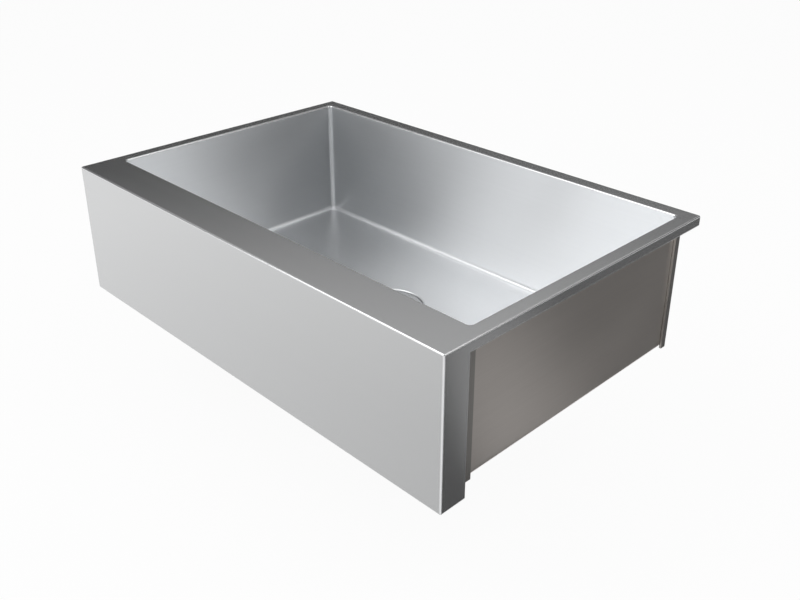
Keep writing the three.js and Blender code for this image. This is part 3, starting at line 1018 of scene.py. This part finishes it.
def makeWasher(values):
    low, high = boxOf(values["node"])
    bm = ringMesh(values["inside"], high.x, low.z, high.z, values["edge"])
    finishPiece(values["name"], toDrain(bm), values["look"], values["node"])


locknut = {
    "inside": 42.65,
    "outside": 51.5,
    "lugs": 6,
    "lugLength": 5,
    "lugAngle": 10,  # degrees
    "steps": 144,
    "edge": 0.7,
    "edgeSteps": 2,
}


def makeLocknut(values):
    low, high = boxOf("drain_locknut")
    inside = values["inside"]
    outside = values["outside"]
    corners = [(inside, low.z), (outside, low.z), (outside, high.z), (inside, high.z)]
    bm = turnedMesh(corners, values["steps"])
    middle = (inside + outside) / 2
    for i in range(values["lugs"]):
        angle = math.tau * i / values["lugs"]
        outward = Vector((math.cos(angle), math.sin(angle), 0))
        halfLug = math.radians(values["lugAngle"] / 2)

        def isLug(place, normal):
            across = Vector((place.x, place.y, 0))
            isOuter = across.length > middle and abs(normal.z) < 0.5
            return isOuter and across.angle(outward) < halfLug

        drawOut(bm, facesWhere(bm, isLug), outward * values["lugLength"])
    bm.normal_update()
    edges = [edge for edge in bm.edges if edge.calc_face_angle(0) > nutAngle]
    roundEdges(bm, edges, values["edge"], values["edgeSteps"])
    finishPiece("locknutRing", toDrain(bm), "castBrass", "drain_locknut")


tailpiece = {"outside": 19.05, "wall": 1.2, "flange": 1.5, "edge": 0.4}


def makeTailpiece(values):
    low, high = boxOf("tailpiece")
    outside = values["outside"]
    inside = outside - values["wall"]
    flangeUnder = high.z - values["flange"]
    edge = values["edge"]
    corners = [
        (inside, low.z, edge),
        (outside, low.z, edge),
        (outside, flangeUnder, 2 * edge),
        (high.x, flangeUnder, edge),
        (high.x, high.z, edge),
        (inside, high.z, edge),
    ]
    finishPiece("tailTube", toDrain(turnedMesh(corners)), "drainSteel", "tailpiece")


couplingNut = {"thread": 23.75, "tubeHole": 19.55, "lip": 2.5, "edge": 1.0, "edgeSteps": 3}


def addPrism(bm, sides, radius, depth, place):
    size = {"radius1": radius, "radius2": radius, "depth": depth}
    bmesh.ops.create_cone(bm, cap_ends=True, segments=sides, **size, matrix=place)


# A six-sided prism with corners on the Y axis and its edges rounded.
def hexMesh(low, high, acrossCorners, edge, steps):
    bm = bmesh.new()
    upward = Matrix.Translation((0, 0, (low + high) / 2)) @ Matrix.Rotation(math.radians(30), 4, "Z")
    addPrism(bm, 6, acrossCorners, high - low, upward)
    roundEdges(bm, bm.edges[:], edge, steps)
    return bm


def makeCouplingNut(values):
    low, high = boxOf("coupling_nut")
    bm = hexMesh(low.z, high.z, high.y - drainY, values["edge"], values["edgeSteps"])
    step = low.z + values["lip"]
    bottom = low.z - values["lip"]  # the cutter runs past both ends
    top = high.z + values["lip"]
    hole = values["tubeHole"]
    thread = values["thread"]
    corners = [(0, bottom), (hole, bottom), (hole, step), (thread, step), (thread, top), (0, top)]
    cutter = turnedMesh(corners, closed=False)
    finishPiece("couplingRing", toDrain(bm), "castBrass", "coupling_nut", cutter=toDrain(cutter))


makeStrainer()
for values in washers:
    makeWasher(values)
makeLocknut(locknut)
makeTailpiece(tailpiece)
makeCouplingNut(couplingNut)
print("drain made")


basket = {
    "sheet": 1,
    "hole": 3.1,
    "footRadius": 31.6,
    "footRound": 3.6,
    "mouthRadius": 37.6,
    "rimRound": 0.45,
    "steps": 160,
    "punchRadius": 2,
    "punchPitch": 6.4,
    "punchFirst": 9.2,
    "punchLast": 25.9,
    "punchSteps": 20,
    "slots": 20,
    "slotWidth": 2.5,
    "slotHeight": 18,
    "slotReach": (6, 3),
}
stem = {"radius": 3, "tipRadius": 2.6, "collarRadius": 6, "collarHeight": 1.5, "hubGap": 0.4}
knob = {"hole": 3.1, "neck": 5, "radius": 10, "crown": 4.8, "under": 2.4, "neckHeight": 5.5, "socket": 6.1}
stopper = {"hole": 3.1, "lip": 0.4, "edge": 0.6}
stemNut = {"hole": 3.1, "edge": 0.5}


def basketCutter(values, low, high):
    bm = bmesh.new()
    span = values["punchLast"] - values["punchFirst"]
    rings = round(span / values["punchPitch"])
    for ring in range(rings + 1):
        radius = values["punchFirst"] + span * ring / rings
        count = math.floor(math.tau * radius / values["punchPitch"])
        for i in range(count):
            turn = Matrix.Rotation(math.tau * i / count, 4, "Z")
            place = turn @ Matrix.Translation((radius, 0, low.z))
            addPrism(bm, values["punchSteps"], values["punchRadius"], 4 * values["sheet"], place)
    middle = (low.z + values["sheet"] + values["footRound"] + high.z) / 2
    inward, outward = values["slotReach"]
    for i in range(values["slots"]):
        halfWidth = values["slotWidth"] / 2
        slot = cubeMesh(
            (values["footRadius"] - inward, -halfWidth, middle - values["slotHeight"] / 2),
            (values["mouthRadius"] + outward, halfWidth, middle + values["slotHeight"] / 2),
        )
        ends = [edge for edge in slot.edges if abs(edge.verts[0].co.x - edge.verts[1].co.x) > 1]
        roundEdges(slot, ends, halfWidth - 0.01, 4)
        turn = Matrix.Rotation(math.tau * (i + 0.5) / values["slots"], 4, "Z")
        bmesh.ops.transform(slot, matrix=turn, verts=slot.verts)
        addMesh(bm, slot)
    return bm


def makeBasket(values):
    low, high = boxOf("strainer_basket")
    wall = values["sheet"]
    corners = [
        (values["hole"], low.z),
        (values["footRadius"], low.z, values["footRound"]),
        (values["mouthRadius"], high.z - wall, 0.6),
        (high.x, high.z - wall, values["rimRound"]),
        (high.x, high.z, values["rimRound"]),
        (values["mouthRadius"] - wall + 0.1, high.z, 1.4),
        (values["footRadius"] - wall, low.z + wall, values["footRound"] - wall),
        (values["hole"], low.z + wall),
    ]
    bm = toDrain(turnedMesh(corners, values["steps"]))
    cutter = toDrain(basketCutter(values, low, high))
    finishPiece("basketCup", bm, "drainSteel", "strainer_basket", "basket", cutter=cutter)


def makeStem(values):
    low, high = boxOf("basket_stem")
    basketLow, _ = boxOf("strainer_basket")
    radius = values["radius"]
    collar = basketLow.z + basket["sheet"]
    collarTop = collar + values["collarHeight"]
    shoulder = barTop + values["hubGap"]
    corners = [
        (0, low.z),
        (values["tipRadius"], low.z, 1.2),
        (values["tipRadius"], shoulder),
        (radius, shoulder + radius - values["tipRadius"]),
        (radius, collar, 0.2),
        (values["collarRadius"], collar, 0.4),
        (values["collarRadius"], collarTop, 0.5),
        (radius, collarTop, 0.5),
        (radius, high.z, 0.4),
        (0, high.z),
    ]
    bm = toDrain(turnedMesh(corners, 48, closed=False))
    finishPiece("stemRod", bm, "drainSteel", "basket_stem", "basket")


def makeKnob(values):
    low, high = boxOf("basket_knob")
    neckTop = low.z + values["neckHeight"]
    socketTop = low.z + values["socket"]
    corners = [
        (0, socketTop),
        (values["hole"], socketTop),
        (values["hole"], low.z),
        (values["neck"], low.z, 0.5),
        (values["neck"], neckTop, 1.2),
        (values["radius"], neckTop, values["under"]),
        (values["radius"], high.z, values["crown"]),
        (0, high.z),
    ]
    bm = toDrain(turnedMesh(corners, 64, closed=False, roundSteps=8))
    finishPiece("knobCap", bm, "drainSteel", "basket_knob", "basket")


def makeStopper(values):
    low, high = boxOf("stopper_disc")
    slope = cupFloor - low.z
    corners = [
        (values["hole"], low.z),
        (high.x - slope, low.z, values["edge"]),
        (high.x, cupFloor, values["lip"]),
        (high.x, high.z, values["lip"]),
        (values["hole"], high.z),
    ]
    finishPiece("stopperPlug", toDrain(turnedMesh(corners)), "blackRubber", "stopper_disc", "basket")


def makeStemNut(values):
    low, high = boxOf("stem_nut")
    bm = hexMesh(low.z, high.z, high.y - drainY, values["edge"], 3)
    corners = [(0, low.z - 1), (values["hole"], low.z - 1), (values["hole"], high.z + 1), (0, high.z + 1)]
    cutter = toDrain(turnedMesh(corners, 48, closed=False))
    finishPiece("stemNutCap", toDrain(bm), "castBrass", "stem_nut", "basket", cutter=cutter)


makeBasket(basket)
makeStem(stem)
makeKnob(knob)
makeStopper(stopper)
makeStemNut(stemNut)
print("basket made")


# Metres, and strengths in which 1 is the background's white.
studio = {
    "floorRadius": 14.0,
    "floorGap": 0.002,
    "floorColor": (0.88, 0.88, 0.88, 1),
    "floorWhite": 0.94,
    "floorWhiteInMetal": 0.4,
    "worldLight": 0.5,
}
# Azimuths turn from +Y towards +X. A lamp faces the middle of the sink.
lampDistance = 3.0
lamps = [
    {"name": "keyLamp", "azimuth": 206, "elevation": 40, "size": (2.2, 3.4), "strength": 1.6},
    {"name": "topLamp", "azimuth": 0, "elevation": 90, "size": (2.4, 2.4), "strength": 0.2},
    {"name": "backLamp", "azimuth": 70, "elevation": 44, "size": (2.0, 3.0), "strength": 1.2},
]
# Painted reflections: a dark curtain round the back and a darker screen high in front, glowing sheets which
# only reflections see. Their ramps run from the foot to the top.
paintedReflectionRows = 12
paintedReflectionRamp = [(0.0, 0.02), (0.28, 0.02), (0.38, 0.16), (0.47, 0.3)]
paintedReflectionRamp += [(0.54, 0.52), (0.66, 0.6), (0.78, 0.45), (1.0, 0.2)]
paintedReflectionCurtains = [
    {
        "name": "paintedReflectionCurtain",
        "radius": 3.6,
        "from": 229,
        "to": 518,
        "low": 0.45,
        "topElevation": 60,
        "steps": 48,
        "ramp": paintedReflectionRamp,
    },
    {
        "name": "paintedReflectionScreen",
        "radius": 3.2,
        "from": 100,
        "to": 160,
        "low": 1.3,
        "topElevation": 70,
        "steps": 16,
        "ramp": [(0.0, 0.08), (1.0, 0.08)],
    },
]
# Painted reflections: glowing cloths and a card on the floor at the sink's right and front, which only
# reflections see. A ramp runs from near to far of a centre, and a distant centre makes straight bands.
paintedFloorReflections = [
    {
        "name": "paintedDarkFloorReflection",
        "lift": 0.001,
        "corners": [(0.43, -0.285), (2.8, -0.285), (2.8, 2.4), (0.43, 2.4)],
        "centre": (12.86, -15.32),
        "near": 19.5,
        "far": 20.0,
        "ramp": [(0.0, 0.1), (0.3, 0.09), (0.8, 0.11), (1.0, 0.13)],
    },
    {
        "name": "paintedPaleFloorReflection",
        "lift": 0.0015,
        "corners": [(0.542, -0.055), (0.998, 0.328), (0.907, 0.63), (0.485, 0.277)],
        "centre": (12.86, -15.32),
        "near": 19.62,
        "far": 19.92,
        "ramp": [(0.0, 0.37), (0.3, 0.35), (0.6, 0.28), (0.85, 0.16), (1.0, 0.12)],
    },
    {
        "name": "paintedGreyFloorReflection",
        "lift": 0.001,
        "corners": [(-1.6, -1.5), (0.43, -1.5), (0.43, -0.285), (-1.6, -0.285)],
        "centre": (0.7, -0.6),
        "near": 0.0,
        "far": 2.3,
        "ramp": [(0.0, 0.55), (0.2, 0.62), (0.5, 0.78), (0.8, 0.92), (1.0, 0.97)],
    },
]


# Shares of what a ray meets: the first for the camera and through glass, the second in metal.
def seenShare(tree, direct, mirrored):
    path = addNode(tree, "ShaderNodeLightPath").outputs
    straight = mathOf(tree, "MAXIMUM", path["Is Camera Ray"], path["Is Transmission Ray"])
    first = mathOf(tree, "MULTIPLY", straight, direct)
    second = mathOf(tree, "MULTIPLY", path["Is Glossy Ray"], mirrored)
    return mathOf(tree, "MAXIMUM", first, second)


def makeWorld():
    world = bpy.data.worlds.new("studio")
    scene.world = world
    world.use_nodes = True
    tree = world.node_tree
    tree.nodes.clear()
    strength = mixOf(tree, "FLOAT", seenShare(tree, 1.0, 1.0), studio["worldLight"], 1.0)
    light = addNode(tree, "ShaderNodeBackground", {"Color": grey(1), "Strength": strength})
    addNode(tree, "ShaderNodeOutputWorld", {"Surface": light.outputs["Background"]})


def stagePiece(name, bm, material):
    made = addObject(name, meshFrom(name, bm))
    made.data.materials.append(material)
    return made


def makeFloor():
    material = newMaterial("floorPaper")
    tree = material.node_tree
    paper = addNode(tree, "ShaderNodeBsdfDiffuse", {"Color": studio["floorColor"]})
    white = addNode(tree, "ShaderNodeEmission", {"Color": grey(1), "Strength": 1.0})
    share = seenShare(tree, studio["floorWhite"], studio["floorWhiteInMetal"])
    lit = addNode(tree, "ShaderNodeMixShader", {0: share, 1: paper.outputs[0], 2: white.outputs[0]})
    clear = addNode(tree, "ShaderNodeBsdfTransparent")
    behind = addNode(tree, "ShaderNodeNewGeometry").outputs["Backfacing"]
    both = addNode(tree, "ShaderNodeMixShader", {0: behind, 1: lit.outputs[0], 2: clear.outputs[0]})
    addNode(tree, "ShaderNodeOutputMaterial", {"Surface": both.outputs[0]})
    bm = bmesh.new()
    bmesh.ops.create_circle(bm, cap_ends=True, segments=96, radius=studio["floorRadius"])
    level = cadBox[0][2] - studio["floorGap"]
    moveBy(bm, (0, 0, level))
    stagePiece("floor", bm, material)


# A dull glow for a painted reflection, following a ramp from 0 to 1 of a share, which reads the place.
def glowMaterial(name, ramp, makeShare):
    material = newMaterial(name)
    tree = material.node_tree
    place = addNode(tree, "ShaderNodeNewGeometry").outputs["Position"]
    graded = addNode(tree, "ShaderNodeValToRGB", {"Fac": makeShare(tree, place)})
    stops = graded.color_ramp.elements
    while len(stops) < len(ramp):
        stops.new(0.5)
    for stop, (position, level) in zip(stops, ramp):
        stop.position = position
        stop.color = grey(level)
    glow = addNode(tree, "ShaderNodeEmission", {"Color": graded.outputs["Color"], "Strength": 1.0})
    addNode(tree, "ShaderNodeOutputMaterial", {"Surface": glow.outputs[0]})
    return material


def seenInMetalOnly(made):
    made.visible_camera = False
    made.visible_diffuse = False
    made.visible_transmission = False
    made.visible_shadow = False


# A direction by azimuth and elevation in degrees.
def towards(azimuth, elevation):
    level = Vector((math.cos(math.radians(elevation)), 0, math.sin(math.radians(elevation))))
    return Matrix.Rotation(math.radians(90 - azimuth), 3, "Z") @ level


# A glowing curtain that paints light and shade into the metal's reflections.
def makePaintedReflectionCurtain(values):
    radius = values["radius"]
    first = math.asin(values["low"] / radius)
    last = math.radians(values["topElevation"])
    bm = bmesh.new()
    rows = [first + (last - first) * i / paintedReflectionRows for i in range(paintedReflectionRows + 1)]
    verts = [bm.verts.new(radius * towards(values["to"], math.degrees(row))) for row in rows]
    edges = [bm.edges.new(pair) for pair in zip(verts, verts[1:])]
    spinAbout(bm, verts + edges, math.radians(values["to"] - values["from"]), values["steps"])

    def byHeight(tree, place):
        split = addNode(tree, "ShaderNodeSeparateXYZ", {"Vector": place})
        return shareOf(tree, split.outputs["Z"], values["low"], radius * math.sin(last))

    glow = glowMaterial(values["name"] + "Glow", values["ramp"], byHeight)
    seenInMetalOnly(stagePiece(values["name"], bm, glow))


# A glowing sheet on the floor that paints light and shade into the metal's reflections.
def makePaintedFloorReflection(values):
    level = cadBox[0][2] - studio["floorGap"] + values["lift"]
    bm = bmesh.new()
    bm.faces.new([bm.verts.new((x, y, level)) for x, y in values["corners"]])

    def byDistance(tree, place):
        centre = (*values["centre"], level)
        apart = addNode(tree, "ShaderNodeVectorMath", {0: place, 1: centre}, operation="DISTANCE")
        return shareOf(tree, apart.outputs["Value"], values["near"], values["far"])

    glow = glowMaterial(values["name"] + "Glow", values["ramp"], byDistance)
    seenInMetalOnly(stagePiece(values["name"], bm, glow))


def makeLamp(values):
    data = bpy.data.lights.new(values["name"], "AREA")
    data.shape = "RECTANGLE"
    data.size, data.size_y = values["size"]
    data.energy = values["strength"] * math.pi * data.size * data.size_y
    made = addObject(values["name"], data)
    outward = towards(values["azimuth"], values["elevation"])
    made.location = outward * lampDistance
    made.rotation_mode = "QUATERNION"
    made.rotation_quaternion = outward.to_track_quat("Z", "Y")
    made.visible_camera = False


makeWorld()
makeFloor()
for values in paintedReflectionCurtains:
    makePaintedReflectionCurtain(values)
for values in paintedFloorReflections:
    makePaintedFloorReflection(values)
for values in lamps:
    makeLamp(values)
print("studio made")
